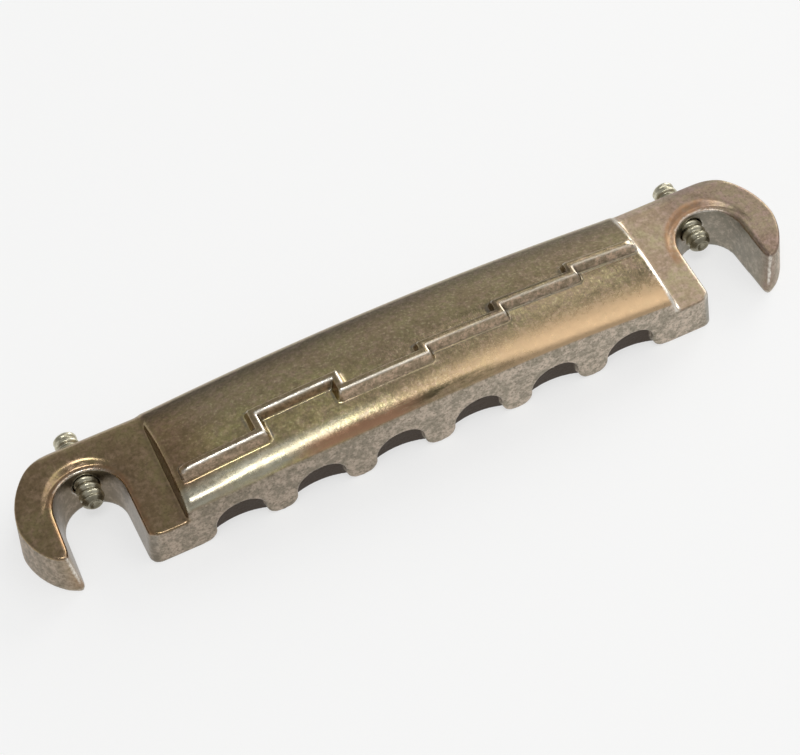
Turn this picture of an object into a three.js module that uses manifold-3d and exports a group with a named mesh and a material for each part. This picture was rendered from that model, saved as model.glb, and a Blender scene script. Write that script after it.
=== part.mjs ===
// Compensated wraparound tailpiece for a six-string electric guitar: one casting and two set screws.
// Millimetres. +Z up from the flat underside, +X towards the bass side, +Y towards the tail of the
// guitar. The origin lies on the underside, midway between the two stud axes.
import * as THREE from "three";
import { mergeVertices } from "three/addons/utils/BufferGeometryUtils.js";
import Module from "manifold-3d";

// Layout across the guitar
const studSpacing = 83;
const stringCount = 6;
const stringPitch = 10.4;
const topRadius = 305;
// Casting, seen from above
const frontToStuds = 7.6;
const rearToStuds = 9.1;
const earRadius = 9.3;
const hookTipRadius = 8.45;
const earDraft = 0.08;
const earRearTrim = 0.1;
const slotRadius = 3.85;
const slotDraft = 0.1;
const slotFlare = 0.35;
const blockCornerRadius = 1.5;
const hookTipRounding = 1.4;
// Casting, seen from the end
const frontEdgeHeight = 8.7;
const crownHeight = 10.7;
const frontRoundingDepth = 3;
const frontRoundingShare = 0.07;
const frontShoulderHeight = 10.2;
const crownPeakToStuds = 0.5;
const crownRearBend = 4;
const rearShoulderToStuds = 7.8;
const rearShoulderHeight = 8.75;
const rearFaceHeight = 6.9;
const earFrontHeight = 5.8;
const earWaistHeight = 6.2;
const earWaistDepth = 8.4;
const earRearHeight = 7.1;
const earRearRadius = 2.2;
const rearFoot = 1.2;
// Crown ends and the stepped saddle ridge
const crownHalfLength = 31.6;
const crownEndLean = 0.9;
const ridgeTopHeight = 12;
const ridgeCrestWidth = 0.8;
const ridgeWallDraft = 0.36;
const ridgeRootSink = 1.3;
const ridgeEndSetback = 0.4;
const ridgeCrests = [3.9, 6.75, 4.7, 5.85, 7.3, 8.65];
const ridgeSteps = [-20.4, -10.5, 1.2, 11.8, 22.3];
// Stud-head recess
const recessFloorHeight = 6.35;
const recessFloorRadius = 5.55;
const recessRimRadius = 6.55;
const recessRimRise = 0.7;
const recessSetForward = 0.55;
// Ball-end pockets and string holes
const archRadius = 3.2;
const archSpring = 2;
const archFootRadius = 1.7;
const pocketDepth = 1.7;
const pocketBackRadius = 10.5;
const stringHoleRadius = 1.1;
const stringHoleHeight = 3.7;
// Set screws
const screwInset = 0.6;
const screwRadius = 1.5;
const screwLength = 10.5;
const screwHeight = 3.9;
const screwTipToStuds = 1;
const screwClearance = 0.2;
const screwTipLength = 0.9;
const screwTipFlatRadius = 0.45;
const screwHeadChamfer = 0.25;
const hexAcrossFlats = 1.5;
const hexDepth = 2;
// Overrun of every cut past the face that it starts from
const overrun = 1;

// Facets of the swept side view
const roundingSteps = 8;
const topSteps = 7;
const rearSteps = 8;
const crownStations = 28;

const halfStudSpacing = studSpacing / 2;
const screwX = halfStudSpacing - screwInset;
const frontY = -frontToStuds;
const rearY = rearToStuds;

const wasm = await Module();
wasm.setup();

function solidFrom(geometry) {
  geometry.deleteAttribute("normal");
  geometry.deleteAttribute("uv");
  const merged = mergeVertices(geometry);
  return new wasm.Manifold(new wasm.Mesh({
    numProp: 3,
    vertProperties: Float32Array.from(merged.attributes.position.array),
    triVerts: Uint32Array.from(merged.index.array),
  }));
}

function geometryFrom(solid) {
  const mesh = solid.getMesh();
  const positions = Float32Array.from(mesh.vertProperties);
  const geometry = new THREE.BufferGeometry();
  geometry.setAttribute("position", new THREE.BufferAttribute(positions, 3));
  geometry.setIndex(Array.from(mesh.triVerts));
  return geometry;
}

// A closed body through rings of equal length. The flat ends are triangulated from the ring's own
// outline, which runs anticlockwise seen from the last ring's side.
function loft(rings, outline) {
  const count = rings[0].length;
  const index = [];
  const ends = THREE.ShapeUtils.triangulateShape(outline, []);
  const last = (rings.length - 1) * count;
  for (const [a, b, c] of ends) {
    index.push(a, c, b);
    index.push(last + a, last + b, last + c);
  }
  for (let ring = 0; ring < rings.length - 1; ring += 1) {
    for (let i = 0; i < count; i += 1) {
      const a = ring * count + i;
      const b = ring * count + (i + 1) % count;
      index.push(a, b, b + count);
      index.push(a, b + count, a + count);
    }
  }
  const positions = rings.flat().flatMap((p) => p.toArray());
  const geometry = new THREE.BufferGeometry();
  geometry.setAttribute("position", new THREE.Float32BufferAttribute(positions, 3));
  geometry.setIndex(index);
  return geometry;
}

// Points of an arc from one angle to another, both ends included
function arcPoints(centreX, centreY, radiusAt, from, to, steps) {
  const points = [];
  for (let i = 0; i <= steps; i += 1) {
    const angle = from + (to - from) * i / steps;
    const radius = radiusAt(angle);
    points.push(new THREE.Vector2(centreX + radius * Math.cos(angle), centreY + radius * Math.sin(angle)));
  }
  return points;
}

// A corner rounded by a curve from one setback point to the other
function roundedCorner(before, corner, after, radius, steps) {
  const start = corner.clone().add(before.clone().sub(corner).setLength(radius));
  const end = corner.clone().add(after.clone().sub(corner).setLength(radius));
  return new THREE.QuadraticBezierCurve(start, corner, end).getPoints(steps);
}

// Plan of the bass half at a height, from the middle of the front face round the block, the stud
// slot and the hook to the middle of the rear face. The walls lean by their drafts.
function halfPlan(height) {
  const slot = slotRadius + slotDraft * height;
  const lean = earDraft * height;
  const wall = halfStudSpacing - slot;
  const tipAngle = -Math.acos((slot + slotFlare) / (hookTipRadius - lean));
  const ear = (angle) => {
    if (angle > 0) {
      return earRadius - lean * (1 - angle / (Math.PI / 2)) - earRearTrim * Math.sin(2 * angle);
    }
    return earRadius - lean - (earRadius - hookTipRadius) * angle / tipAngle;
  };
  const blockCorner = new THREE.Vector2(wall, frontY);
  const slotStart = new THREE.Vector2(wall, 0);
  const block = roundedCorner(new THREE.Vector2(0, frontY), blockCorner, slotStart, blockCornerRadius, 5);
  const slotArc = arcPoints(halfStudSpacing, 0, () => slot, Math.PI, 0, 24);
  const outer = arcPoints(halfStudSpacing, 0, ear, tipAngle, Math.PI / 2, 30);
  const tip = roundedCorner(slotArc.at(-1), outer[0], outer[2], hookTipRounding, 5);
  return [...block, ...slotArc, ...tip, ...outer.slice(2)];
}

function planBody() {
  const outlines = [-overrun, ridgeTopHeight + overrun].map((height) => {
    const bass = halfPlan(height);
    const treble = bass.map((p) => new THREE.Vector2(-p.x, p.y)).reverse();
    return { height, points: [...bass, ...treble] };
  });
  const rings = outlines.map(({ height, points }) => points.map((p) => new THREE.Vector3(p.x, p.y, height)));
  return solidFrom(loft(rings, outlines[0].points));
}

// Upper line of the crown seen from the end: front rounding, shoulder, peak, fall to the rear
// shoulder and rounded rear edge, each curve carried on from the last one's direction
function crownLine() {
  const point = (y, height) => new THREE.Vector2(y, height);
  const shoulder = point(frontY + frontRoundingDepth, frontShoulderHeight);
  const rise = (crownHeight - frontShoulderHeight) * 2 / (crownPeakToStuds - shoulder.x);
  const noseY = frontY + frontRoundingDepth * frontRoundingShare;
  const nose = point(noseY, frontShoulderHeight - rise * (shoulder.x - noseY));
  const fall = (crownHeight - rearShoulderHeight) / (rearShoulderToStuds - crownRearBend);
  const rearCorner = point(rearY, rearShoulderHeight - fall * (rearY - rearShoulderToStuds));
  const peak = point(crownPeakToStuds, crownHeight);
  const rearShoulder = point(rearShoulderToStuds, rearShoulderHeight);
  const curve = (a, b, c, steps) => new THREE.QuadraticBezierCurve(a, b, c).getPoints(steps);
  return [
    ...curve(point(frontY, frontEdgeHeight), nose, shoulder, roundingSteps),
    ...curve(shoulder, point((shoulder.x + peak.x) / 2, crownHeight), peak, topSteps).slice(1),
    ...curve(peak, point(crownRearBend, crownHeight), rearShoulder, topSteps).slice(1),
    ...curve(rearShoulder, rearCorner, point(rearY, rearFaceHeight), rearSteps).slice(1),
  ];
}

// Height of the ears, and of the blocks beside the crown, at a depth: a hollow curve up to the
// rear rounding
function earHeightAt(y) {
  const centreY = rearY - earRearRadius;
  if (y > centreY) {
    const rise = Math.sqrt(Math.max(earRearRadius ** 2 - (y - centreY) ** 2, 0));
    return earRearHeight - earRearRadius + rise;
  }
  const lead = 2 * earWaistDepth;
  const bow = centreY - frontY - lead;
  const t = 2 * (y - frontY) / (lead + Math.sqrt(lead ** 2 + 4 * bow * (y - frontY)));
  return (1 - t) ** 2 * earFrontHeight + 2 * t * (1 - t) * earWaistHeight + t ** 2 * earRearHeight;
}

// Upper line of the ears, with a point at each depth of the crown's line
function earLine() {
  return crownLine().map((p) => new THREE.Vector2(p.x, earHeightAt(p.x)));
}

// The casting's side view swept along X: ears, leaning crown ends and the crown, whose upper line
// drops with the fingerboard's radius. It runs past the front face and the ears, which the plan
// cuts, and its foot is flat and rounded at the rear.
function sweptBody() {
  const ring = (x, line, drop) => {
    const nose = new THREE.Vector2(frontY - overrun, line[0].y - drop);
    const lowered = line.map((p) => new THREE.Vector2(p.x, p.y - drop));
    const toe = new THREE.Vector2(nose.x, 0);
    const foot = roundedCorner(lowered.at(-1), new THREE.Vector2(rearY, 0), toe, rearFoot, 4);
    return [nose, ...lowered, ...foot, toe].reverse().map((p) => new THREE.Vector3(x, p.x, p.y));
  };
  const sag = (x) => x * x / (2 * topRadius);
  const end = halfStudSpacing + earRadius + overrun;
  const crownFoot = crownHalfLength + crownEndLean;
  const crown = crownLine();
  const ear = earLine();
  const rings = [ring(-end, ear, 0), ring(-crownFoot, ear, 0)];
  for (let i = 0; i <= crownStations; i += 1) {
    const x = crownHalfLength * (2 * i / crownStations - 1);
    rings.push(ring(x, crown, sag(x)));
  }
  rings.push(ring(crownFoot, ear, 0), ring(end, ear, 0));
  return solidFrom(loft(rings, rings[0].map((p) => new THREE.Vector2(p.y, p.z))));
}

// Crest outline of the ridge, widened to the front and rear by a margin. Each string has its own
// stretch, and short bars join the stretches.
function ridgeOutline(margin) {
  const end = crownHalfLength - ridgeEndSetback;
  const front = [new THREE.Vector2(-end, frontY + ridgeCrests[0] - margin)];
  const back = [new THREE.Vector2(-end, frontY + ridgeCrests[0] + ridgeCrestWidth + margin)];
  ridgeSteps.forEach((x, i) => {
    const here = frontY + ridgeCrests[i];
    const next = frontY + ridgeCrests[i + 1];
    const side = Math.sign(next - here);
    const frontX = x + side * margin;
    const backX = x - side * (ridgeCrestWidth + margin);
    front.push(new THREE.Vector2(frontX, here - margin), new THREE.Vector2(frontX, next - margin));
    back.push(
      new THREE.Vector2(backX, here + ridgeCrestWidth + margin),
      new THREE.Vector2(backX, next + ridgeCrestWidth + margin),
    );
  });
  const lastCrest = frontY + ridgeCrests.at(-1);
  front.push(new THREE.Vector2(end, lastCrest - margin));
  back.push(new THREE.Vector2(end, lastCrest + ridgeCrestWidth + margin));
  return [...front, ...back.reverse()];
}

// The ridge stands on the crown, with its root sunk below the crown's front shoulder
function ridgeBody() {
  const root = frontShoulderHeight - ridgeRootSink;
  const levels = [
    { margin: ridgeWallDraft * (ridgeTopHeight - root), height: root },
    { margin: 0, height: ridgeTopHeight },
  ];
  const rings = levels.map(({ margin, height }) => ridgeOutline(margin).map(
    (p) => new THREE.Vector3(p.x, p.y, height - p.x * p.x / (2 * topRadius)),
  ));
  return solidFrom(loft(rings, ridgeOutline(0)));
}

// One ball-end pocket: an arch cut into the front face, open below, with a slightly curved back
function pocketCutter(x) {
  const flare = archRadius + archFootRadius;
  const shape = new THREE.Shape();
  shape.moveTo(-flare, -overrun);
  shape.lineTo(flare, -overrun);
  shape.lineTo(flare, 0);
  shape.absarc(flare, archFootRadius, archFootRadius, -Math.PI / 2, -Math.PI, true);
  shape.absarc(0, archSpring, archRadius, 0, Math.PI, false);
  shape.absarc(-flare, archFootRadius, archFootRadius, 0, -Math.PI / 2, true);
  const depth = pocketDepth + overrun;
  const arch = new THREE.ExtrudeGeometry(shape, { depth, bevelEnabled: false, curveSegments: 10 });
  arch.rotateX(Math.PI / 2);
  arch.translate(x, frontY + pocketDepth, 0);
  const height = 2 * (archSpring + archRadius + overrun);
  const back = new THREE.CylinderGeometry(pocketBackRadius, pocketBackRadius, height, 96);
  back.rotateX(Math.PI / 2);
  back.translate(x, frontY + pocketDepth - pocketBackRadius, 0);
  return solidFrom(arch).intersect(solidFrom(back));
}

// A round cutter along Y between two places
function boreCutter(x, z, radius, fromY, toY) {
  const bore = new THREE.CylinderGeometry(radius, radius, toY - fromY, 24);
  bore.translate(x, (fromY + toY) / 2, z);
  return solidFrom(bore);
}

// The seat for a stud's head, round the closed end of its slot
function recessCutter(x) {
  const slope = (recessRimRadius - recessFloorRadius) / recessRimRise;
  const height = recessRimRise + overrun;
  const top = recessFloorRadius + slope * height;
  const seat = new THREE.CylinderGeometry(top, recessFloorRadius, height, 64);
  seat.rotateX(Math.PI / 2);
  seat.translate(x, -recessSetForward, recessFloorHeight + height / 2);
  return solidFrom(seat);
}

function barGeometry() {
  let bar = sweptBody().intersect(planBody()).add(ridgeBody());
  for (let i = 0; i < stringCount; i += 1) {
    const x = (i - (stringCount - 1) / 2) * stringPitch;
    bar = bar.subtract(pocketCutter(x));
    bar = bar.subtract(boreCutter(x, stringHoleHeight, stringHoleRadius, frontY, rearY + overrun));
  }
  for (const side of [-1, 1]) {
    bar = bar.subtract(recessCutter(side * halfStudSpacing));
    bar = bar.subtract(boreCutter(side * screwX, screwHeight, screwRadius + screwClearance, 0, rearY + overrun));
  }
  return geometryFrom(bar);
}

// A set screw along Y: rounded tip in the slot at the front, hexagon socket at the rear
function screwGeometry() {
  const tipWidth = screwRadius - screwTipFlatRadius;
  const tip = new THREE.EllipseCurve(screwTipFlatRadius, 0, tipWidth, screwTipLength, 0, Math.PI / 2);
  const profile = [
    new THREE.Vector2(0, 0),
    ...tip.getPoints(6).reverse().map((p) => new THREE.Vector2(p.x, screwTipLength - p.y)),
    new THREE.Vector2(screwRadius, screwLength - screwHeadChamfer),
    new THREE.Vector2(screwRadius - screwHeadChamfer, screwLength),
    new THREE.Vector2(0, screwLength),
  ];
  const socketRadius = hexAcrossFlats / (2 * Math.cos(Math.PI / 6));
  const socket = new THREE.CylinderGeometry(socketRadius, socketRadius, hexDepth + overrun, 6);
  socket.translate(0, screwLength - (hexDepth - overrun) / 2, 0);
  const screw = solidFrom(new THREE.LatheGeometry(profile, 24));
  return geometryFrom(screw.subtract(solidFrom(socket)));
}

const platedCasting = new THREE.MeshStandardMaterial({ color: 0x7b705c, roughness: 0.34, metalness: 1 });
const screwNickel = new THREE.MeshStandardMaterial({ color: 0x85816f, roughness: 0.3, metalness: 1 });

function namedMesh(name, geometry, material) {
  const mesh = new THREE.Mesh(geometry, material);
  mesh.name = name;
  return mesh;
}

const tailpiece = new THREE.Group();
tailpiece.add(namedMesh("bar", barGeometry(), platedCasting));
for (const [side, name] of [[-1, "intonation_screw_treble"], [1, "intonation_screw_bass"]]) {
  const screw = namedMesh(name, screwGeometry(), screwNickel.clone());
  screw.position.set(side * screwX, screwTipToStuds, screwHeight);
  tailpiece.add(screw);
}

export default tailpiece;
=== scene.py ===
# Aged nickel wraparound tailpiece with two set screws, on a pale floor under soft light.
# Shapes are written in millimetres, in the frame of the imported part, and become metres in their meshes.
import bpy
import math
import numpy as np
from mathutils import Matrix, Vector


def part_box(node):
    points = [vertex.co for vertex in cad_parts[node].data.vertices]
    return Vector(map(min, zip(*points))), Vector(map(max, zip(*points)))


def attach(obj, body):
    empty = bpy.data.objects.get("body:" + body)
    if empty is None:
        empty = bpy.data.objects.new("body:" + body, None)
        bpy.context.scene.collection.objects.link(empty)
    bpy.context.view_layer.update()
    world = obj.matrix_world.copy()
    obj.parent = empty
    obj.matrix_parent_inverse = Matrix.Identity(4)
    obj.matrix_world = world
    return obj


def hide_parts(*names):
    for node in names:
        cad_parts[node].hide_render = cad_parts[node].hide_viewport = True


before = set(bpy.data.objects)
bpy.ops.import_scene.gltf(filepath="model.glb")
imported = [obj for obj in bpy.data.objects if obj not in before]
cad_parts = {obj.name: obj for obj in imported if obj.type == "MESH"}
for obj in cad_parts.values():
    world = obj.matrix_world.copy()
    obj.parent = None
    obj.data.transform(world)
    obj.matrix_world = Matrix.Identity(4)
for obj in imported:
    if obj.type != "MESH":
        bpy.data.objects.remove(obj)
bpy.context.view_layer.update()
mm = 0.001


# Distance fields: millimetres to a surface, negative inside

def outlineTable(points, step, margin):
    # signed distance to a closed outline, laid out as a table for lookUp
    pts = np.array(points)
    low = pts.min(0) - margin
    count = np.ceil((pts.max(0) + margin - low) / step).astype(int) + 1
    gu, gv = np.meshgrid(low[0] + step * np.arange(count[0]),
                         low[1] + step * np.arange(count[1]), indexing="ij")
    best = np.full(gu.shape, np.inf)
    inside = np.zeros(gu.shape, bool)
    for (au, av), (bu, bv) in zip(pts, np.roll(pts, -1, axis=0)):
        du, dv = bu - au, bv - av
        run = du * du + dv * dv
        if run == 0:
            continue
        t = np.clip(((gu - au) * du + (gv - av) * dv) / run, 0, 1)
        best = np.minimum(best, (gu - au - t * du) ** 2 + (gv - av - t * dv) ** 2)
        if dv != 0:
            inside ^= ((av > gv) != (bv > gv)) & (gu < (gv - av) * du / dv + au)
    return {"low": low, "step": step, "values": np.sqrt(best) * np.where(inside, -1, 1)}


def lookUp(table, u, v):
    values = table["values"]
    last = np.array(values.shape) - 1.001  # just inside the table's last cell
    fu = np.clip((u - table["low"][0]) / table["step"], 0, last[0])
    fv = np.clip((v - table["low"][1]) / table["step"], 0, last[1])
    iu, iv = fu.astype(int), fv.astype(int)
    fu, fv = fu - iu, fv - iv
    low = values[iu, iv] * (1 - fu) + values[iu + 1, iv] * fu
    high = values[iu, iv + 1] * (1 - fu) + values[iu + 1, iv + 1] * fu
    return low * (1 - fv) + high * fv


def smooth(value, low, high):
    # from 0 at low to 1 at high, which may also be the lesser of the two
    t = np.clip((value - low) / (high - low), 0, 1)
    return t * t * (3 - 2 * t)


def common(a, b, radius):
    # what two solids share, with its edge rounded
    edge = np.hypot(np.maximum(a + radius, 0), np.maximum(b + radius, 0))
    return np.minimum(np.maximum(a, b), -radius) + edge


def joined(a, b, radius):
    # two solids as one, with a fillet between them
    return -common(-a, -b, radius)


def arc(cu, cv, radius, start, stop, steps=48):
    # points round a circle, both ends included
    angles = np.linspace(start, stop, steps + 1)
    return [(cu + radius * math.cos(a), cv + radius * math.sin(a)) for a in angles]


def bend(a, b, c, steps=32):
    # a quadratic curve from a to c, drawn towards b
    curve = []
    for t in np.linspace(0, 1, steps + 1):
        shares = (1 - t) ** 2, 2 * t * (1 - t), t * t
        curve.append(tuple(shares[0] * a[i] + shares[1] * b[i] + shares[2] * c[i] for i in (0, 1)))
    return curve


def corner(before, at, after, setback, steps=16):
    # the corner at a point, rounded from the same distance on both sides of it
    at = np.array(at, float)
    toStart = np.array(before) - at
    toEnd = np.array(after) - at
    start = at + toStart * setback / np.linalg.norm(toStart)
    end = at + toEnd * setback / np.linalg.norm(toEnd)
    return bend(start, at, end, steps)


# The casting

# x runs along the bar to the bass side, y to the rear and z up from the underside
casting = {
    "studSpacing": 83, "stringCount": 6, "stringPitch": 10.4, "topRadius": 305,
    "front": -7.6, "rear": 9.1,
    "earRadius": 9.3, "tipRadius": 8.45, "earDraft": 0.08, "earTrim": 0.1,
    "slotRadius": 3.85, "slotDraft": 0.1, "slotFlare": 0.35, "blockCorner": 1.5, "tipRounding": 1.4,
    # the front rounding along the bar: x, height of its edge, depth, and how far its nose is set back
    "frontSections": [(-31, 7.4, 1.6, 0.05), (-22, 7.8, 2.6, 0.13), (-11, 8.15, 3.6, 0.28),
                      (3, 8.5, 3.4, 0.24), (18, 8.7, 3, 0.07)],
    "frontDepth": 3, "frontShoulder": 10.2,
    "crownTop": 10.7, "crownPeak": 0.5, "crownBend": 4,
    "rearShoulder": 7.8, "rearShoulderTop": 8.75, "rearFace": 6.9,
    "earFront": 5.8, "earWaist": 6.2, "earWaistDepth": 8.4, "earRear": 7.1, "earRearRadius": 2.2,
    "rearFoot": 1.2, "crownHalf": 32, "crownLean": 0.35,
    # the ridge: its top is a hair lower than the solid's, and each string has its own crest depth
    "ridgeTop": 11.999, "ridgeCrest": 0.8, "ridgeDraft": 0.36, "ridgeSink": 1.3, "ridgeSetback": 0.8,
    "ridgeCrests": [3.9, 6.75, 4.7, 5.85, 7.3, 8.65], "ridgeSteps": [-20.4, -10.5, 1.2, 11.8, 22.3],
    "recessFloor": 6.35, "recessRadius": 5.55, "recessRim": 6.55, "recessRise": 0.7, "recessForward": 0.55,
    "archRadius": 3.2, "archSpring": 2, "archFoot": 1.7, "pocketDepth": 1.7, "pocketBack": 10.5,
    "holeRadius": 1.1, "holeHeight": 3.7,
    "screwSpacing": 81.8, "boreRadius": 1.62, "boreHeight": 3.9,
    # radii of edges and fillets, and where the slots' edge grows rounder: reach, height and rise
    "outerEdge": 0.3, "slotEdge": 0.5, "slotEdgeReach": 1.6, "slotEdgeHeight": 3, "slotEdgeRise": 2,
    "crownEdge": 0.7, "crownFillet": 0.3, "crestEdge": 0.2, "ridgeEndEdge": 0.35, "ridgeFillet": 0.14,
    "pocketEdge": 0.35, "recessEdge": 0.14, "holeEdge": 0.12,
    # how finely outlines are drawn, and how far they are carried on below the bar and past its front
    "tableStep": 0.06, "planSteps": 90, "tipSteps": 9,
    "sideBottom": -6, "archBottom": -2, "crownNose": 9, "earNose": 4,
    # widths of the grid's cells along x, y and z, and where the fine ones are
    "coarse": (0.5, 0.19, 0.28), "fine": (0.26, 0.19, 0.16),
    "stepZone": 1.2, "earZone": 33.5, "topZone": 5.2, "farOut": 60,
}


def halfPlan(c, height):
    # the bass half seen from above, at a height
    stud = c["studSpacing"] / 2
    slot = c["slotRadius"] + c["slotDraft"] * height
    lean = c["earDraft"] * height
    tipAngle = -math.acos((slot + c["slotFlare"]) / (c["tipRadius"] - lean))
    outer = []
    for angle in np.linspace(tipAngle, math.pi / 2, c["planSteps"] + 1):
        if angle > 0:
            radius = c["earRadius"] - lean * (1 - angle / (math.pi / 2))
            radius -= c["earTrim"] * math.sin(2 * angle)
        else:
            radius = c["earRadius"] - lean - (c["earRadius"] - c["tipRadius"]) * angle / tipAngle
        outer.append((stud + radius * math.cos(angle), radius * math.sin(angle)))
    slotArc = arc(stud, 0, slot, math.pi, 0)
    wall = stud - slot
    block = corner((0, c["front"]), (wall, c["front"]), (wall, 0), c["blockCorner"])
    behindTip = outer[c["tipSteps"]:]
    tip = corner(slotArc[-1], outer[0], behindTip[0], c["tipRounding"])
    past = stud / 4  # some way over the middle, where the other half takes over
    return [(-past, c["front"]), *block, *slotArc, *tip, *behindTip, (-past, outer[-1][1])]


def crownLine(c, edge, depth, share):
    # front rounding, top and rear rounding, each carried on in the last one's direction
    front, rear, top = c["front"], c["rear"], c["crownTop"]
    shoulderY = front + depth
    run = c["crownPeak"] - shoulderY
    drop = (top - c["frontShoulder"]) * (run / (c["crownPeak"] - front - c["frontDepth"])) ** 2
    rise = drop * 2 / run
    noseY = front + depth * share
    nose = (noseY, top - drop - rise * (shoulderY - noseY))
    shoulder = (shoulderY, top - drop)
    peak = (c["crownPeak"], top)
    rearShoulder = (c["rearShoulder"], c["rearShoulderTop"])
    fall = (top - c["rearShoulderTop"]) / (c["rearShoulder"] - c["crownBend"])
    rearCorner = (rear, c["rearShoulderTop"] - fall * (rear - c["rearShoulder"]))
    line = bend((front, edge), nose, shoulder, steps=48)
    line += bend(shoulder, ((shoulderY + peak[0]) / 2, top), peak, steps=24)[1:]
    line += bend(peak, (c["crownBend"], top), rearShoulder, steps=24)[1:]
    return line + bend(rearShoulder, rearCorner, (rear, c["rearFace"]))[1:]


def earLine(c):
    # the ears' hollow top, rising to the rounded rear edge
    centre = c["rear"] - c["earRearRadius"]
    top = bend((c["front"], c["earFront"]), (c["front"] + c["earWaistDepth"], c["earWaist"]),
               (centre, c["earRear"]), steps=48)
    rear = arc(centre, c["earRear"] - c["earRearRadius"], c["earRearRadius"], math.pi / 2, 0)
    return [*top[:-1], *rear]


def sideView(line, nose, bottom):
    # the upper line closed far below, and carried on past the front face in its own direction
    first, second = np.array(line[0]), np.array(line[1])
    ahead = first + (first - second) * nose / np.linalg.norm(first - second)
    return [*line, (line[-1][0], bottom), (ahead[0], bottom), tuple(ahead)]


def ridgeOutline(c):
    # the ridge's crest from above: one step back or forward between each two strings
    end = c["crownHalf"] - c["ridgeSetback"]
    width = c["ridgeCrest"]
    crests = [c["front"] + depth for depth in c["ridgeCrests"]]
    front = [(-end, crests[0])]
    back = [(-end, crests[0] + width)]
    for x, here, after in zip(c["ridgeSteps"], crests, crests[1:]):
        backX = x - width * np.sign(after - here)
        front += [(x, here), (x, after)]
        back += [(backX, here + width), (backX, after + width)]
    front.append((end, crests[-1]))
    back.append((end, crests[-1] + width))
    return front + back[::-1]


def castingField(c):
    # the whole casting as one distance field
    stud = c["studSpacing"] / 2
    step, bottom = c["tableStep"], c["sideBottom"]
    plans = [outlineTable(halfPlan(c, height), step, margin=2) for height in (0, c["ridgeTop"])]
    sections = []
    for x, *shape in c["frontSections"]:
        outline = sideView(crownLine(c, *shape), c["crownNose"], bottom)
        sections.append((x, outlineTable(outline, step, margin=2)))
    earProfile = outlineTable(sideView(earLine(c), c["earNose"], bottom), step, margin=2)
    ridgePlan = outlineTable(ridgeOutline(c), step, margin=3)
    foot = c["archFoot"]
    flare = c["archRadius"] + foot
    archShape = [(-flare, c["archBottom"]), (flare, c["archBottom"]), (flare, 0),
                 *arc(flare, foot, foot, -math.pi / 2, -math.pi),
                 *arc(0, c["archSpring"], c["archRadius"], 0, math.pi),
                 *arc(-flare, foot, foot, 0, -math.pi / 2), (-flare, 0)]
    arch = outlineTable(archShape, step, margin=2)
    crownZ = c["frontShoulder"] - c["crownHalf"] ** 2 / (2 * c["topRadius"])
    endSlope = c["crownLean"] / (crownZ - c["earWaist"])
    recessSlope = (c["recessRim"] - c["recessRadius"]) / c["recessRise"]
    lastString = (c["stringCount"] - 1) / 2

    def field(x, y, z):
        ax = np.abs(x)
        sag = x * x / (2 * c["topRadius"])
        # crown and ears, one behind the other along the bar
        crown = lookUp(sections[0][1], y, z + sag)
        for (start, _), (stop, section) in zip(sections, sections[1:]):
            mix = smooth(x, start, stop)
            crown = crown * (1 - mix) + lookUp(section, y, z + sag) * mix
        end = (ax - c["crownHalf"] - endSlope * (crownZ - z)) / math.hypot(1, endSlope)
        crown = common(crown, end, c["crownEdge"])
        solid = joined(lookUp(earProfile, y, z), crown, c["crownFillet"])
        solid = np.maximum(solid, common(y - c["rear"], -z, c["rearFoot"]))
        # outline seen from above
        mix = np.clip(z / c["ridgeTop"], 0, 1)
        plan = lookUp(plans[0], ax, y) * (1 - mix) + lookUp(plans[1], ax, y) * mix
        slotSide = np.hypot(ax - stud, np.maximum(y, 0)) - c["slotRadius"]
        nearSlot = np.clip(c["slotEdgeReach"] - slotSide, 0, 1)
        nearSlot = nearSlot * np.clip((z - c["slotEdgeHeight"]) / c["slotEdgeRise"], 0, 1)
        edge = c["outerEdge"] + (c["slotEdge"] - c["outerEdge"]) * nearSlot
        solid = common(solid, plan, edge)
        # stepped saddle ridge
        top = c["ridgeTop"] - sag
        side = (lookUp(ridgePlan, x, y) - c["ridgeDraft"] * (top - z)) / math.hypot(1, c["ridgeDraft"])
        ridge = common(side, z - top, c["crestEdge"])
        ridge = common(ridge, ax - c["crownHalf"] + c["ridgeSetback"], c["ridgeEndEdge"])
        ridge = np.maximum(ridge, c["frontShoulder"] - c["ridgeSink"] - sag - z)
        solid = joined(solid, ridge, c["ridgeFillet"])
        # ball-end pockets and string holes
        index = np.clip(np.round(x / c["stringPitch"] + lastString), 0, c["stringCount"] - 1)
        u = x - (index - lastString) * c["stringPitch"]
        back = np.hypot(u, y - c["front"] - c["pocketDepth"] + c["pocketBack"]) - c["pocketBack"]
        pocket = common(lookUp(arch, u, z), back, c["pocketEdge"])
        solid = common(solid, -pocket, c["pocketEdge"])
        hole = np.hypot(u, z - c["holeHeight"]) - c["holeRadius"]
        solid = common(solid, -hole, c["holeEdge"])
        # stud-head recesses and screw bores
        reach = np.hypot(ax - stud, y + c["recessForward"])
        wall = reach - c["recessRadius"] - recessSlope * (z - c["recessFloor"])
        recess = np.maximum(wall / math.hypot(1, recessSlope), c["recessFloor"] - z)
        solid = common(solid, -recess, c["recessEdge"])
        bore = np.hypot(ax - c["screwSpacing"] / 2, z - c["boreHeight"]) - c["boreRadius"]
        bore = np.maximum(bore, -y)  # from the studs' line to the rear
        return common(solid, -bore, c["holeEdge"])

    return field


# Skinning a field

def slope(field, p, step=0.02):
    # which way the field rises at each point, and how steeply
    grads = []
    for axis in range(3):
        shift = np.zeros(3)
        shift[axis] = step
        grads.append((field(*(p + shift).T) - field(*(p - shift).T)) / (2 * step))
    return np.stack(grads, 1)


def settle(field, p, rounds, reach):
    # moves points onto the surface along the field's slope
    leastSlope = 0.05
    for _ in range(rounds):
        value = field(*p.T)
        g = slope(field, p)
        size = np.maximum((g * g).sum(1), leastSlope)
        p = p - g * np.clip(value / size, -reach, reach)[:, None]
    return p


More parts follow.
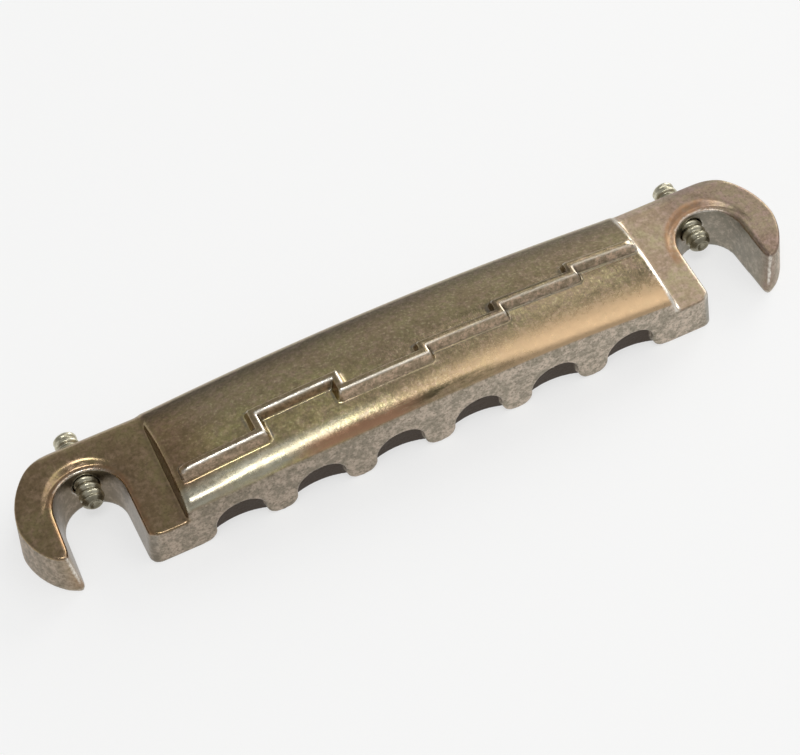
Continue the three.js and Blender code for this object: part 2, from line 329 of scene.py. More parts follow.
def gradedAxis(low, high, coarse, fine, zones):
    # places along an axis, set closer inside the zones
    margin = 1.5 * coarse
    places = [low - margin]
    while places[-1] < high + margin:
        near = any(start <= places[-1] <= stop for start, stop in zones)
        places.append(places[-1] + (fine if near else coarse))
    return np.array(places)


def skin(field, axes):
    # one vertex in each cell that the surface crosses, joined by quads
    shape = tuple(len(a) for a in axes)
    values = np.empty(shape)
    yy, zz = np.meshgrid(axes[1], axes[2], indexing="ij")
    for i, x in enumerate(axes[0]):
        values[i] = field(np.full(yy.shape, x), yy, zz)
    values[values == 0] = 1e-9  # a place exactly on the surface counts as outside
    inside = values < 0
    corners = [(i, j, k) for i in (0, 1) for j in (0, 1) for k in (0, 1)]

    def at(data, offset):
        i, j, k = offset
        return data[i:shape[0] - 1 + i, j:shape[1] - 1 + j, k:shape[2] - 1 + k]

    count = sum(at(inside, o).astype(np.int8) for o in corners)
    active = (count > 0) & (count < 8)
    cells = np.argwhere(active)
    ids = np.full(active.shape, -1)
    ids[active] = np.arange(len(cells))
    place = np.zeros((len(cells), 3))
    hits = np.zeros(len(cells))
    for a in corners:
        for axis in range(3):
            if a[axis]:
                continue
            b = list(a)
            b[axis] = 1
            va = at(values, a)[active]
            vb = at(values, tuple(b))[active]
            cross = (va < 0) != (vb < 0)
            t = np.where(cross, va / np.where(cross, va - vb, 1), 0)
            point = np.array(a, float)[None, :].repeat(len(cells), 0)
            point[:, axis] = t
            place += point * cross[:, None]
            hits += cross
    place /= hits[:, None]
    along = [a[cells[:, i]] + place[:, i] * np.diff(a)[cells[:, i]] for i, a in enumerate(axes)]
    points = np.stack(along, 1)
    faces = []
    for axis in range(3):
        u, v = [i for i in range(3) if i != axis]
        if axis == 1:
            u, v = v, u
        first = [slice(1, -1)] * 3
        first[axis] = slice(0, -1)
        second = list(first)
        second[axis] = slice(1, None)
        va, vb = inside[tuple(first)], inside[tuple(second)]
        for solidFirst in (True, False):
            at0 = np.argwhere((va != vb) & (va == solidFirst))
            at0[:, u] += 1
            at0[:, v] += 1
            ring = []
            for du, dv in ((1, 1), (0, 1), (0, 0), (1, 0)):
                cellAt = at0.copy()
                cellAt[:, u] -= du
                cellAt[:, v] -= dv
                ring.append(ids[tuple(cellAt.T)])
            quads = np.stack(ring, 1)
            faces.append(quads[:, ::-1] if not solidFirst else quads)
    return points, np.concatenate(faces)


def relax(field, points, faces, rounds, reach):
    # evens the quads out along the surface
    share = 0.5
    for _ in range(rounds):
        owner = np.concatenate([faces[:, i] for i in range(4) for _ in (0, 1)])
        other = np.concatenate([faces[:, (i + j) % 4] for i in range(4) for j in (1, 3)])
        count = np.bincount(owner, minlength=len(points))
        total = np.stack([np.bincount(owner, points[other, k], len(points)) for k in range(3)], 1)
        g = slope(field, points)
        normal = g / np.maximum(np.linalg.norm(g, axis=1), 1e-6)[:, None]
        move = (total / count[:, None] - points) * share
        move -= normal * (move * normal).sum(1)[:, None]
        points = settle(field, points + move, rounds=1, reach=reach)
    return points


def meshFrom(name, points, faces):
    # a smooth mesh object from arrays of points and quads
    mesh = bpy.data.meshes.new(name)
    mesh.vertices.add(len(points))
    mesh.vertices.foreach_set("co", (points * mm).astype(np.float32).ravel())
    mesh.loops.add(faces.size)
    mesh.loops.foreach_set("vertex_index", faces.astype(np.int32).ravel())
    mesh.polygons.add(len(faces))
    mesh.polygons.foreach_set("loop_start", np.arange(0, faces.size, faces.shape[1], dtype=np.int32))
    mesh.update(calc_edges=True)
    mesh.validate()
    mesh.shade_smooth()
    obj = bpy.data.objects.new(name, mesh)
    bpy.context.scene.collection.objects.link(obj)
    return obj


def keepMask(obj, name, values):
    mask = obj.data.attributes.new(name, "FLOAT", "POINT")
    mask.data.foreach_set("value", values.astype(np.float32))


def castingMesh(c, field):
    # skins the field with finer quads at the ridge's steps, on the ears and above the blocks
    low, high = (np.array(end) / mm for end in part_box("bar"))
    near, far = c["stepZone"], c["farOut"]
    fineAlong = [(x - near, x + near) for x in c["ridgeSteps"]]
    fineAlong += [(-far, -c["earZone"]), (c["earZone"], far)]
    zones = [fineAlong, [], [(c["topZone"], far)]]
    axes = [gradedAxis(low[i], high[i], c["coarse"][i], c["fine"][i], zones[i]) for i in range(3)]
    points, faces = skin(field, axes)
    print("casting skinned with", len(faces), "faces")
    points = settle(field, points, rounds=2, reach=0.1)
    points = relax(field, points, faces, rounds=3, reach=0.1)
    points = settle(field, points, rounds=2, reach=0.05)
    return meshFrom("casting", points, faces), points


# Where the casting's finish changes, and where highlights and shade are painted on it. A zone is a
# product of fades, and each fade names what is measured, where it starts and where it is full. The
# top's curve is taken out of z. Side, depth and slot are distances from the middle, the front face
# and a slot's wall. Bassward, back, ahead and up say how far the surface is turned that way.
castingFinish = {
    # the hollows' mask is darker in creases and corners, by how closely the surface is enclosed there
    "wearDepth": 0.3, "wear": (0, 0.12), "hollowReach": 0.6, "hollows": (0.05, 0.5), "foot": (0.05, 0.3),
    "lipTilt": 0.55, "stainDepth": 0.85, "bareShift": (0.6, -14, -24), "rearShift": (0.7, 12, -12),
    "onCrown": [("z", 8.3, 8.8), ("side", 32.8, 32.2)],
    # ridgeFoot: where a pale line is painted along the ridge's base, a painted highlight
    "ridgeFoot": [("up", 0.3, 0.6), ("z", 11.3, 11), ("side", 31.5, 30.5)],
    "zones": {
        "level": [("up", 0.06, 0.24)],
        "leaning": [("up", 0.1, 0.3)],
        "tilted": [("up", 0.3, 0.55)],
        "frontBand": [("ahead", 0.4, 0.7), ("depth", 1.2, 0.6)],
        "ridgeWall": [("ahead", 0.6, 0.8), ("z", 10.3, 10.5)],
        "shaded": [("x", -20.6, -20), ("x", -10, -10.8), ("z", 11.7, 11.2)],
        "lip": [("slot", 1.5, 0.9), ("x", 3, -3)],
        "cone": [("slot", 2.3, 1.9), ("x", 30, 33), ("x", 46, 41), ("y", -2.5, -0.5)],
        # crest: the ridge's crest edge, painted pale as a painted highlight
        "crestGlint": [("z", 11.72, 11.82), ("crestTilt", 0.12, 0.35)],
        "slotWall": [("slotBand", 0.9, 0.4)],
        # pale: the casting painted paler towards the bass side, painted light
        "pale": [("x", -32, 18)],
        "bassEar": [("x", 31.8, 32.6)],
        # turnedBack: faces turned back, where the bass ear gets more lift as painted light
        "turnedBack": [("back", 0.02, 0.2)],
        "crown": [("side", 32.6, 31.4)],
        # pocket: the ball-end pockets' back walls, where a painted shade is laid
        "pocket": [("ahead", 0.3, 0.7), ("depth", 0.6, 1.2)],
        # endGlint: the crown's bass end, painted pale as a painted highlight
        "endGlint": [("bassward", 0.12, 0.32), ("x", 30.5, 31.2), ("z", 7, 7.6)],
        "hook": [("x", 36, 41)],
        # lipGlint: the bass slot's lip, painted pale as a painted highlight
        "lipGlint": [("slot", -0.1, 0.1), ("slot", 1.6, 1.2), ("lipTilt", 0.45, 0.2), ("y", 0, -1)],
    },
    "crownZones": {
        "gold": [("x", -9, 18), ("depth", 5.2, 1.8)],
        "rust": [("x", -20, -14), ("x", 0, -6), ("depth", 1.7, 0.9)],
        "bare": [("x", -2, -19), ("bareDepth", 0.6, 1.2), ("depth", 3.2, 2.2)],
        # dull: just in front of the ridge's bass half, where a painted shade darkens the crown
        "crownShade": [("x", 4, 12), ("y", -4.2, -1.5), ("y", 1.7, 0.9)],
        "stain": [("x", -15, -9), ("x", 14, 0), ("stainLine", 0.7, 0.2)],
        "rear": [("rearEdge", 3.7, 9.5), ("side", 32.6, 31.4)],
        "lit": [("x", -2, -14), ("x", -31, -25), ("y", 3, -0.5), ("z", 11.3, 10.9)],
        "brownEnd": [("x", -24, -31), ("side", 32.6, 31.4)],
    },
    # how much of a mask is lost along the bar or across it, and sharp limits of the small ones
    "crestLoss": [(0.3, -11, -8), (0.4, 0, 4)], "stripLoss": (0.5, 0, 2), "mattLeast": 0.6,
    "pocketReach": 3, "pocketRoof": 0.2, "stripLimit": 33.5, "lipLimits": (30, 39),
}


def fade(measures, steps, level=1.0):
    for name, low, high in steps:
        level = level * smooth(measures[name], low, high)
    return level


def maskCasting(obj, c, f, field, points):
    # keeps a mask in the mesh for each change of finish and for each painted highlight and shade
    g = slope(field, points)
    normal = g / np.linalg.norm(g, axis=1)[:, None]
    x, y = points[:, 0], points[:, 1]
    z = points[:, 2] + x * x / (2 * c["topRadius"])
    bassward, back, up = normal.T
    ahead = -back
    depth = y - c["front"]
    slot = np.hypot(np.abs(x) - c["studSpacing"] / 2, np.maximum(y, 0)) - c["slotRadius"]

    def shift(amount, low, high):
        return amount * smooth(x, low, high)

    measures = {
        "x": x, "y": y, "z": z, "side": np.abs(x), "depth": depth, "slot": slot,
        "bassward": bassward, "back": back, "ahead": ahead, "up": up,
        "slotBand": np.abs(slot - c["slotDraft"] * z), "crestTilt": np.maximum(ahead, bassward),
        "lipTilt": np.abs(up - f["lipTilt"]), "stainLine": np.abs(depth - f["stainDepth"]),
        "bareDepth": depth + shift(*f["bareShift"]), "rearEdge": y + shift(*f["rearShift"]),
    }
    onCrown = fade(measures, f["onCrown"])
    zone = {name: fade(measures, steps) for name, steps in f["zones"].items()}
    zone.update({name: fade(measures, steps, onCrown) for name, steps in f["crownZones"].items()})
    worn = field(*(points - normal * f["wearDepth"]).T) + f["wearDepth"]
    # how closely the surface is enclosed, which darkens creases and corners
    hidden = f["hollowReach"] - field(*(points + normal * f["hollowReach"]).T)
    roof = c["archSpring"] + c["archRadius"] + f["pocketRoof"]
    inArch = (points[:, 2] < roof) & (np.abs(x) < c["crownHalf"])
    crestLoss = sum(shift(*loss) for loss in f["crestLoss"])
    stripLoss = f["stripLoss"][0] * smooth(y, *f["stripLoss"][1:])
    mattLeast = f["mattLeast"]
    lipFrom, lipTo = f["lipLimits"]
    masks = {
        "wear": smooth(worn, *f["wear"]),
        "hollows": smooth(hidden, *f["hollows"]),
        "polish": zone["level"] * (1 - zone["ridgeWall"]) * (1 - zone["frontBand"] * (1 - zone["tilted"])),
        "copper": np.maximum(zone["lip"], zone["cone"]) * zone["leaning"],
        "ridgeWall": zone["ridgeWall"],
        "wallShade": zone["ridgeWall"] * zone["shaded"],
        # painted highlight along the ridge's crest edge
        "crestGlint": zone["crestGlint"] * (1 - crestLoss),
        "machined": zone["slotWall"] * (1 - zone["leaning"]),
        # the bass ear: part matt finish, part painted light where its faces turn back
        "mattAndLit": zone["bassEar"] * (mattLeast + (1 - mattLeast) * zone["turnedBack"]),
        # painted shade on the ball-end pockets' back walls
        "pocket": zone["pocket"] * (depth < f["pocketReach"]) * inArch,
        # painted highlight along the crown's bass end
        "endGlint": zone["endGlint"] * (x < f["stripLimit"]) * (1 - stripLoss),
        # painted highlight on the bass slot's lip
        "lipGlint": zone["lipGlint"] * (x > lipFrom) * (x < lipTo),
        # painted highlight: a pale line along the ridge's foot, where the fillet turns in
        "foot": fade(measures, f["ridgeFoot"], onCrown) * smooth(hidden, *f["foot"]),
    }
    # pale carries painted light: the casting paler towards the bass side
    for name in ("pale", "crown", "hook", *f["crownZones"]):
        masks[name] = zone[name]
    for name, values in masks.items():
        keepMask(obj, name, values)


castingShape = castingField(casting)
bar, barPoints = castingMesh(casting, castingShape)
maskCasting(bar, casting, castingFinish, castingShape, barPoints)
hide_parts("bar")
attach(bar, "casting")
print("casting done")


# Set screws

setScrew = {
    "radius": 1.5, "length": 10.5, "tipToStuds": 1.0,
    "spacing": casting["screwSpacing"], "height": casting["boreHeight"],
    "pitch": 1.0, "threadDepth": 0.3, "grooveSharpness": 1.5, "plainRear": 1.3, "plainInset": 0.04,
    "tipLength": 0.8, "tipFlat": 0.85, "headChamfer": 0.35,
    # rings of the cup in the tip: share of the flat's radius, share of the cup's depth
    "cupDepth": 0.45, "cupRings": [(0.3, 0.9), (0.75, 0.25), (0.9, 0.05)],
    "socketWidth": 1.5, "socketDepth": 2.0, "socketBevel": 0.12,
    # the socket's pointed bottom: share of its width, depth below the flat sides
    "socketPoint": [(0.97, 0), (0.5, 0.2), (0, 0.3)],
    "around": 60, "stepsPerThread": 14, "shadedTip": (0.9, 0.1),
}


def screwRadius(s, along, angle):
    # radius of the threaded shank, drawn in at the rounded tip and at the chamfered rear
    turn = (along / s["pitch"] - angle / (2 * math.pi)) % 1.0
    groove = 0.5 - 0.5 * np.cos(2 * math.pi * turn)
    plain = smooth(along - s["length"] + s["plainRear"], 0, s["pitch"])
    inset = s["threadDepth"] * groove ** s["grooveSharpness"] * (1 - plain) + s["plainInset"] * plain
    tip = smooth(along, -s["tipLength"], s["tipLength"]) * 2 - 1
    nose = s["tipFlat"] + (s["radius"] - s["tipFlat"]) * tip
    rear = s["radius"] - np.maximum(s["headChamfer"] - (s["length"] - along), 0)
    return np.minimum(s["radius"] - inset, np.minimum(nose, rear))


def makeScrew(s, side, name, node, body):
    # rings from the cup in the tip along the thread to the hexagon socket, closed by a point at each end
    around, length = s["around"], s["length"]
    angles = np.linspace(0, 2 * math.pi, around, endpoint=False)
    rings = []

    def addRing(radius, along):
        ring = radius * np.cos(angles), np.full(around, along), radius * np.sin(angles)
        rings.append(np.stack(ring, 1))

    for share, depth in s["cupRings"]:
        addRing(share * s["tipFlat"], depth * s["cupDepth"])
    count = int(round(length / s["pitch"] * s["stepsPerThread"]))
    for along in np.linspace(0, length, count + 1):
        addRing(screwRadius(s, along, angles), along)
    half, bevel = s["socketWidth"] / 2, s["socketBevel"]
    hexagon = half / np.cos((angles % (math.pi / 3)) - math.pi / 6)
    bottom = length - s["socketDepth"]
    addRing(hexagon * (1 + bevel / half), length)
    addRing(hexagon, length - bevel)
    addRing(hexagon, bottom + bevel)
    *sides, (_, pointDepth) = s["socketPoint"]
    for share, depth in sides:
        addRing(hexagon * share, bottom - depth)
    faces = []
    for first in range(0, (len(rings) - 1) * around, around):
        for i in range(around):
            a, b = first + i, first + (i + 1) % around
            faces.append((a, a + around, b + around, b))
    tipPoint = len(rings) * around
    lastRing = tipPoint - around
    for i in range(around):
        j = (i + 1) % around
        faces.append((tipPoint, i, j))
        faces.append((tipPoint + 1, lastRing + j, lastRing + i))
    points = np.concatenate([*rings, [(0, s["cupDepth"], 0), (0, bottom - pointDepth, 0)]])
    place = np.array([side * s["spacing"] / 2, s["tipToStuds"], s["height"]])
    mesh = bpy.data.meshes.new(name)
    mesh.from_pydata(((points + place) * mm).tolist(), [], faces)
    mesh.shade_smooth()
    obj = bpy.data.objects.new(name, mesh)
    bpy.context.scene.collection.objects.link(obj)
    reach = np.hypot(points[:, 0], points[:, 2])
    # darker in the thread's grooves, the tip's cup and the socket, by how far in from the full radius
    keepMask(obj, "hollows", np.clip((s["radius"] - reach) / s["threadDepth"], 0, 1))
    # the tip's end, where a painted shade is laid
    keepMask(obj, "tip", smooth(points[:, 1], *s["shadedTip"]))
    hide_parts(node)
    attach(obj, body)
    return obj


trebleScrew = makeScrew(setScrew, -1, "set_screw_treble", "intonation_screw_treble", "treble_screw")
bassScrew = makeScrew(setScrew, 1, "set_screw_bass", "intonation_screw_bass", "bass_screw")
print("set screws done")


# Materials

class Nodes:
    # a few short calls for laying out a material's nodes
    def __init__(self, name):
        self.material = bpy.data.materials.new(name)
        self.material.use_nodes = True
        self.tree = self.material.node_tree
        self.tree.nodes.clear()
        self.out = self.add("ShaderNodeOutputMaterial")
        self.shader = self.add("ShaderNodeBsdfPrincipled")
        self.link(self.shader.outputs["BSDF"], self.out.inputs["Surface"])
        self.place = self.add("ShaderNodeTexCoord").outputs["Object"]

    def add(self, kind, **settings):
        node = self.tree.nodes.new(kind)
        for key, value in settings.items():
            setattr(node, key, value)
        return node

    def link(self, a, b):
        self.tree.links.new(a, b)

    def feed(self, socket, value):
        if isinstance(value, bpy.types.NodeSocket):
            self.link(value, socket)
        else:
            socket.default_value = value

    def noise(self, size, detail, rough, stretch=None, shift=None):
        # size is the width of one patch in millimetres
        node = self.add("ShaderNodeTexNoise")
        place = self.place
        if stretch or shift:
            mapping = self.add("ShaderNodeMapping")
            mapping.inputs["Scale"].default_value = stretch or (1, 1, 1)
            mapping.inputs["Location"].default_value = shift or (0, 0, 0)
            self.link(place, mapping.inputs["Vector"])
            place = mapping.outputs["Vector"]
        self.link(place, node.inputs["Vector"])
        node.inputs["Scale"].default_value = 1 / (size * mm)
        node.inputs["Detail"].default_value = detail
        node.inputs["Roughness"].default_value = rough
        return node.outputs["Fac"]

    def ramp(self, value, low, high, start=0.0, stop=1.0):
        node = self.add("ShaderNodeMapRange", interpolation_type="SMOOTHSTEP")
        self.link(value, node.inputs["Value"])
        for key, number in (("From Min", low), ("From Max", high), ("To Min", start), ("To Max", stop)):
            node.inputs[key].default_value = number
        return node.outputs["Result"]

    def math(self, operation, a, b):
        node = self.add("ShaderNodeMath", operation=operation)
        self.feed(node.inputs[0], a)
        self.feed(node.inputs[1], b)
        return node.outputs["Value"]

    def mix(self, amount, a, b, blend="MIX"):
        # two colours
        node = self.add("ShaderNodeMix", data_type="RGBA", blend_type=blend)
        self.feed(node.inputs["Factor"], amount)
        for socket, colour in ((node.inputs[6], a), (node.inputs[7], b)):
            self.feed(socket, colour if isinstance(colour, bpy.types.NodeSocket) else (*colour, 1))
        return node.outputs[2]

    def blend(self, amount, a, b):
        # two plain numbers
        node = self.add("ShaderNodeMix", data_type="FLOAT")
        for socket, value in zip(node.inputs[:1] + node.inputs[2:4], (amount, a, b)):
            self.feed(socket, value)
        return node.outputs[0]

    def tint(self, amount, colour, factors):
        # a colour multiplied by factors
        return self.mix(amount, colour, self.mix(1.0, colour, factors, "MULTIPLY"))

    def mask(self, name):
        return self.add("ShaderNodeAttribute", attribute_name=name).outputs["Fac"]

    def bump(self, height, strength, distance):
        node = self.add("ShaderNodeBump")
        node.inputs["Strength"].default_value = strength
        node.inputs["Distance"].default_value = distance * mm
        self.link(height, node.inputs["Height"])
        return node.outputs["Normal"]

    def share(self, patterns, mask, pattern, level):
        # how strongly a layer shows: its mask, broken up by a pattern or held at a plain level
        if pattern:
            level = self.ramp(patterns[pattern], *level)
        if isinstance(mask, tuple):  # a mask's name, and its strength outside and inside
            name, outside, inside = mask
            return self.math("MULTIPLY", self.ramp(self.mask(name), 0, 1, outside, inside), level)
        return self.math("MULTIPLY", self.mask(mask), level) if mask else level

    def lay(self, colour, layers, patterns, colours):
        # lays covers and tints over a colour, one after the other
        for way, mask, pattern, level, name in layers:
            put = self.tint if way == "tint" else self.mix
            colour = put(self.share(patterns, mask, pattern, level), colour, colours[name])
        return colour


plating = {
    "colours": {
        "olive": (0.40, 0.335, 0.185), "brown": (0.34, 0.25, 0.155), "pink": (0.47, 0.345, 0.245),
        "dark": (0.175, 0.135, 0.075), "fleck": (0.66, 0.58, 0.37), "gold": (0.60, 0.42, 0.25),
        "rust": (0.50, 0.28, 0.17), "copper": (0.36, 0.205, 0.11), "bare": (0.53, 0.505, 0.40),
        # on the next line: the pale colour of rubbed edges, which also paints highlights on the crest, the
        # crown's bass end and the slot lip, and the dark colour of creases and corners
        "stain": (0.11, 0.09, 0.048), "rubbedAndGlint": (0.84, 0.80, 0.72), "hollowDark": (0.05, 0.04, 0.028),
        # on the next line: the painted shade of the pockets, and the pale line painted at the ridge's foot
        # as a painted highlight
        "pocket": (0.066, 0.05, 0.04), "foot": (0.3, 0.28, 0.24),
        # the second machined colour is paler, painted light on the bass slot's walls
        "machined": (0.17, 0.143, 0.107), "machinedLitBass": (0.245, 0.232, 0.19),
        "castGrey": (0.26, 0.222, 0.166), "castPink": (0.51, 0.42, 0.335), "castDark": (0.13, 0.104, 0.075),
        # tints, which multiply the colour under them
        "earTint": (0.84, 0.80, 0.74), "earLift": (1.6, 1.76, 2.25), "hookTint": (0.72, 0.69, 0.74),
        "rearTint": (0.24, 0.22, 0.21), "endTint": (0.85, 0.76, 0.7), "litTint": (1.42, 1.5, 1.26),
        "crownShadeTint": (0.62, 0.62, 0.63), "castLitBass": (1.28, 1.32, 1.36), "wallTint": (1.22, 1.12, 1.02),
        "shadeTint": (0.6, 0.54, 0.44),
    },
    "patterns": {  # size of a patch in millimetres, detail, roughness, stretch, shift
        "blotches": (5, 3, 0.6), "patches": (1.5, 5, 0.62, None, (0.3, 0.1, 0.2)),
        "mottle": (0.8, 4, 0.65, None, (0.9, 0.6, 0.3)), "specks": (0.35, 3, 0.6, None, (0.1, 0.5, 0.4)),
        "grains": (1.0, 6, 0.75, None, (0.7, 0.2, 0.9)),
        "streaks": (0.9, 5, 0.7, (0.16, 1, 1), (0.2, 0.4, 0.1)), "scratches": (0.35, 4, 0.6, (1, 0.12, 1)),
    },
    # layers: the way one is laid, its mask, the pattern that breaks it up, that pattern's fade or a
    # plain level, and its colour
    "tarnish": [
        ("cover", ("crown", 1.0, 0.6), "blotches", (0.36, 0.6), "brown"),
        ("cover", None, "mottle", (0.42, 0.68, 0.0, 0.85), "pink"),
        ("cover", None, "grains", (0.48, 0.72, 0.0, 0.5), "dark"),
        ("cover", None, "specks", (0.45, 0.75, 0.0, 0.45), "dark"),
        ("cover", ("crown", 0.15, 0.5), "specks", (0.45, 0.3), "fleck"),
    ],
    "zones": [
        # the bass ear lifted for its matt finish, and more on faces turned back as painted light
        ("tint", "mattAndLit", None, 1.0, "earLift"), ("tint", "hook", None, 1.0, "hookTint"),
        ("tint", "rear", None, 1.0, "rearTint"), ("tint", "brownEnd", None, 1.0, "endTint"),
        ("tint", "lit", "patches", (0.36, 0.6, 0.3, 1.0), "litTint"),
        ("cover", "gold", "patches", (0.2, 0.55, 0.75, 1.0), "gold"),
        # painted shade on the crown just in front of the ridge's bass half
        ("tint", "crownShade", None, 1.0, "crownShadeTint"),
        ("cover", "bare", "streaks", (0.35, 0.6, 1.0, 0.55), "bare"),
        ("cover", "stain", "streaks", (0.38, 0.52, 0.0, 0.9), "stain"),
        ("cover", "rust", "streaks", (0.3, 0.5, 0.3, 0.95), "rust"),
        ("cover", "copper", "patches", (0.35, 0.6, 0.1, 0.8), "copper"),
    ],
    "cast": [
        ("cover", None, "grains", (0.4, 0.62), "castPink"),
        ("cover", None, "specks", (0.47, 0.7, 0.0, 0.62), "castDark"),
        # painted light: the cast faces lifted towards the bass side
        ("tint", "pale", None, 1.0, "castLitBass"),
    ],
    "machinedLevel": (0.4, 0.7, 0.9, 0.5),
    "walls": [("tint", "ridgeWall", None, 1.0, "wallTint"), ("tint", "wallShade", None, 1.0, "shadeTint")],
    # rubbed edges in a pale colour that also stands for edge highlights, darker creases and corners,
    # painted shade in the pockets, and painted highlights at the ridge's foot and crest, the crown's bass
    # end and the slot lip
    "wearHollowsAndPaintedLight": [
        ("cover", "wear", "specks", (0.38, 0.62, 0.95, 0.45), "rubbedAndGlint"),
        ("cover", "hollows", "specks", (0.3, 0.6, 0.45, 0.8), "hollowDark"),
        ("cover", "pocket", None, 0.95, "pocket"), ("cover", "foot", None, 0.8, "foot"),
        ("cover", "crestGlint", None, 0.9, "rubbedAndGlint"), ("cover", "endGlint", None, 0.9, "rubbedAndGlint"),
        ("cover", "lipGlint", None, 0.8, "rubbedAndGlint"),
    ],
    # roughness, with what each zone adds to it, and the relief of the surface
    "topRough": (0.3, 0.7, 0.15, 0.27), "castRough": (0.3, 0.7, 0.44, 0.6), "machinedRough": 0.32,
    "rougher": [("gold", "patches", (0.2, 0.55, 0.75, 1.0), 0.12), ("bare", None, 1.0, 0.07),
                ("mattAndLit", None, 1.0, 0.3)],
    "patchRelief": 0.35, "scratchRelief": 0.14, "speckRelief": 0.7, "machinedRelief": 0.5,
    "reliefStrength": 0.6, "reliefDepth": 0.14,
}


def platedMetal(p):
    # polished and tarnished where the surface lies level, dull and cast where it stands upright
    n = Nodes("aged_nickel_plating")
    colours = p["colours"]
    patterns = {name: n.noise(*settings) for name, settings in p["patterns"].items()}
    polished, machining = n.mask("polish"), n.mask("machined")
    top = n.lay(colours["olive"], p["tarnish"], patterns, colours)
    top = n.mix(n.mask("crown"), n.mix(1.0, top, colours["earTint"], "MULTIPLY"), top)
    top = n.lay(top, p["zones"], patterns, colours)
    cast = n.lay(colours["castGrey"], p["cast"], patterns, colours)
    # the bass slot's walls take the paler colour, painted light
    machined = n.mix(n.mask("pale"), colours["machined"], colours["machinedLitBass"])
    cast = n.mix(n.share(patterns, "machined", "grains", p["machinedLevel"]), cast, machined)
    cast = n.lay(cast, p["walls"], patterns, colours)
    colour = n.lay(n.mix(polished, cast, top), p["wearHollowsAndPaintedLight"], patterns, colours)
    n.link(colour, n.shader.inputs["Base Color"])
    n.shader.inputs["Metallic"].default_value = 1.0
    topRough = n.ramp(patterns["mottle"], *p["topRough"])
    for mask, pattern, level, extra in p["rougher"]:
        more = n.math("MULTIPLY", n.share(patterns, mask, pattern, level), extra)
        topRough = n.math("ADD", topRough, more)
    castRough = n.blend(machining, n.ramp(patterns["grains"], *p["castRough"]), p["machinedRough"])
    n.link(n.blend(polished, castRough, topRough), n.shader.inputs["Roughness"])
    fine = n.math("ADD", n.math("MULTIPLY", patterns["patches"], p["patchRelief"]),
                  n.math("MULTIPLY", patterns["scratches"], p["scratchRelief"]))
    coarse = n.math("ADD", patterns["grains"], n.math("MULTIPLY", patterns["specks"], p["speckRelief"]))
    coarse = n.blend(machining, coarse, n.math("MULTIPLY", patterns["grains"], p["machinedRelief"]))
    relief = n.bump(n.blend(polished, coarse, fine), p["reliefStrength"], p["reliefDepth"])
    n.link(relief, n.shader.inputs["Normal"])
    return n.material


screwNickel = {
    "colours": {"pale": (0.66, 0.62, 0.48), "dark": (0.46, 0.43, 0.31), "hollowDark": (0.12, 0.11, 0.08),
                "tip": (0.17, 0.15, 0.105)},
    "patterns": {"specks": (0.5, 4, 0.6)},
    # the tip layer is painted shade on the screw's end; the layer before it darkens the thread's grooves,
    # the cup and the socket
    "layers": [("cover", None, "specks", (0.4, 0.65), "dark"), ("cover", "hollows", None, 0.4, "hollowDark"),
               ("cover", "tip", None, 0.6, "tip")],
    "rough": (0.3, 0.7, 0.25, 0.4),
}


def screwMetal(p):
    n = Nodes("tarnished_screw_nickel")
    patterns = {name: n.noise(*settings) for name, settings in p["patterns"].items()}
    colour = n.lay(p["colours"]["pale"], p["layers"], patterns, p["colours"])
    n.link(colour, n.shader.inputs["Base Color"])
    n.shader.inputs["Metallic"].default_value = 1.0
    n.link(n.ramp(patterns["specks"], *p["rough"]), n.shader.inputs["Roughness"])
    return n.material


def dress(obj, material):
    # the only material of an object
    obj.data.materials.clear()
    obj.data.materials.append(material)


dress(bar, platedMetal(plating))
screwFinish = screwMetal(screwNickel)
for screw in (trebleScrew, bassScrew):
    dress(screw, screwFinish)
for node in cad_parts.values():  # the hidden solids get their pieces' finish too
    dress(node, bar.data.materials[0] if node.name == "bar" else screwFinish)
print("materials done")


# Floor, light and camera

studio = {
    "floorSize": 3.0, "floorColour": (0.965, 0.97, 0.97), "floorRough": 0.9,
    "floorGlow": 0.62, "glowColour": (0.985, 0.986, 0.984),
    # strength of the sky, and what is added along a direction: where that starts, where it is full
    "sky": 0.33, "skyFades": [("X", -0.3, 0.6, 0.16), ("Z", 0.85, 0.2, 0.14)],
    "lamps": [
        # name, place, size, power, colour
        ("key", (-0.085, -0.21, 0.65), (0.27, 0.16), 1.02, (1, 1, 1)),
        ("overRight", (0.33, -0.12, 0.62), (0.38, 0.48), 0.54, (1, 0.98, 0.94)),
        ("earPanel", (0.3, 0.315, 0.6), (0.14, 0.15), 0.12, (1, 0.98, 0.96)),
        ("rightPanel", (0.59, 0.36, 0.28), (0.4, 0.46), 1.9, (1, 0.99, 0.97)),
    ],
}


def makeFloor(s):
    half = s["floorSize"] / 2
    mesh = bpy.data.meshes.new("floor")
    corners = [(-half, -half, 0), (half, -half, 0), (half, half, 0), (-half, half, 0)]
    mesh.from_pydata(corners, [], [(0, 1, 2, 3)])
    floor = bpy.data.objects.new("floor", mesh)
    bpy.context.scene.collection.objects.link(floor)
    n = Nodes("pale_floor")
    n.shader.inputs["Base Color"].default_value = (*s["floorColour"], 1)
    n.shader.inputs["Roughness"].default_value = s["floorRough"]
    # seen by the camera and in the metal, the floor is part glow, which keeps its shadow faint
    rays = n.add("ShaderNodeLightPath")
    seen = n.math("MAXIMUM", rays.outputs["Is Camera Ray"], rays.outputs["Is Glossy Ray"])
    seen = n.math("MAXIMUM", seen, rays.outputs["Is Transmission Ray"])
    glow = n.add("ShaderNodeEmission")
    glow.inputs["Color"].default_value = (*s["glowColour"], 1)
    blend = n.add("ShaderNodeMixShader")
    n.link(n.math("MULTIPLY", seen, s["floorGlow"]), blend.inputs[0])
    n.link(n.shader.outputs["BSDF"], blend.inputs[1])
    n.link(glow.outputs["Emission"], blend.inputs[2])
    n.link(blend.outputs["Shader"], n.out.inputs["Surface"])
    dress(floor, n.material)


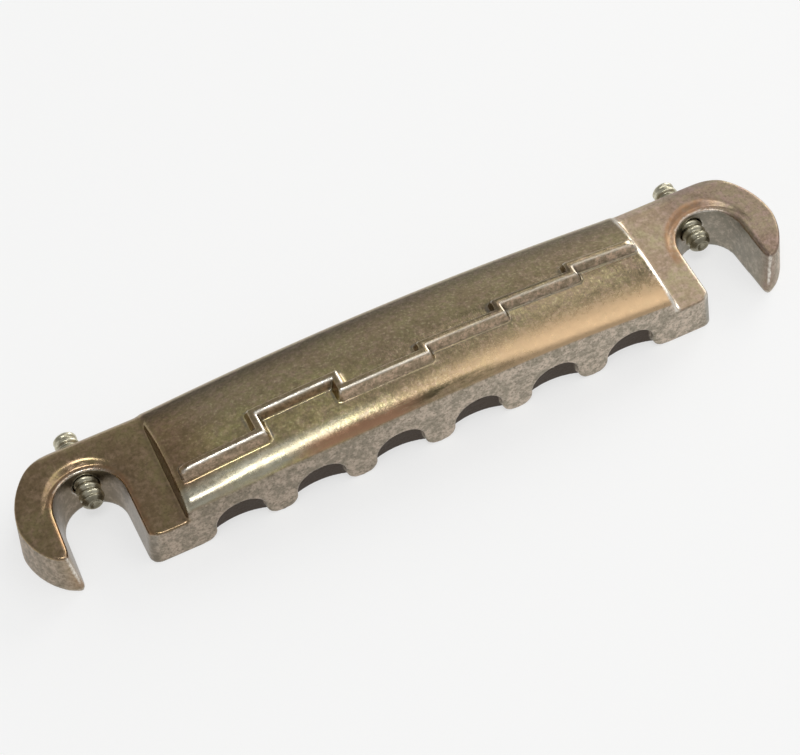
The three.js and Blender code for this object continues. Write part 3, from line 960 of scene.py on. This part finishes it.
def softLight(name, at, size, power, colour):
    light = bpy.data.lights.new(name, "AREA")
    light.shape = "RECTANGLE"
    light.size, light.size_y = size
    light.energy = power
    light.color = colour
    obj = bpy.data.objects.new(name, light)
    obj.location = at
    obj.rotation_euler = (-Vector(at)).to_track_quat("-Z", "Y").to_euler()  # turned to the origin
    bpy.context.scene.collection.objects.link(obj)


def lightSky(tree, s):
    # a grey sky, lighter towards the right and the horizon
    place = tree.nodes.new("ShaderNodeTexCoord").outputs["Generated"]
    split = tree.nodes.new("ShaderNodeSeparateXYZ")
    tree.links.new(place, split.inputs[0])
    level = None
    for letter, low, high, gain in s["skyFades"]:
        ramp = tree.nodes.new("ShaderNodeMapRange")
        ramp.interpolation_type = "SMOOTHSTEP"
        tree.links.new(split.outputs[letter], ramp.inputs["Value"])
        for key, number in (("From Min", low), ("From Max", high), ("To Min", 0), ("To Max", gain)):
            ramp.inputs[key].default_value = number
        total = tree.nodes.new("ShaderNodeMath")
        tree.links.new(ramp.outputs["Result"], total.inputs[0])
        if level is None:
            total.inputs[1].default_value = s["sky"]
        else:
            tree.links.new(level, total.inputs[1])
        level = total.outputs["Value"]
    tree.links.new(level, tree.nodes["Background"].inputs["Strength"])
    tree.nodes["Background"].inputs["Color"].default_value = (1, 1, 1, 1)


makeFloor(studio)
world = bpy.data.worlds.new("studio")
world.use_nodes = True
lightSky(world.node_tree, studio)
bpy.context.scene.world = world
for lamp in studio["lamps"]:
    softLight(*lamp)

# the photograph's camera: pixels, degrees and millimetres
photo = {
    "width": 800, "height": 755, "focal": 2298, "centre": (440.8, 365.7),
    "azimuth": -23.33, "elevation": 54.32, "roll": -3.78, "distance": 277.3, "aim": (3.4, -0.8, 5.0),
    "sensorWidth": 36, "nearest": 0.01,
}


def makeCamera(p):
    azimuth, elevation, roll = (math.radians(p[key]) for key in ("azimuth", "elevation", "roll"))
    back = Vector((math.sin(azimuth) * math.cos(elevation), -math.cos(azimuth) * math.cos(elevation),
                   math.sin(elevation)))
    level = Vector((math.cos(azimuth), math.sin(azimuth), 0))
    above = back.cross(level)
    right = level * math.cos(roll) + above * math.sin(roll)
    up = above * math.cos(roll) - level * math.sin(roll)
    data = bpy.data.cameras.new("camera")
    data.sensor_width = p["sensorWidth"]
    data.lens = p["focal"] / p["width"] * data.sensor_width
    data.shift_x = (p["width"] / 2 - p["centre"][0]) / p["width"]
    data.shift_y = (p["centre"][1] - p["height"] / 2) / p["width"]
    data.clip_start = p["nearest"]
    camera = bpy.data.objects.new("camera", data)
    place = Matrix((right, up, back)).transposed().to_4x4()
    place.translation = (Vector(p["aim"]) + back * p["distance"]) * mm
    camera.matrix_world = place
    bpy.context.scene.collection.objects.link(camera)
    bpy.context.scene.camera = camera


makeCamera(photo)
bpy.context.scene.view_settings.view_transform = "Standard"
print("studio done")
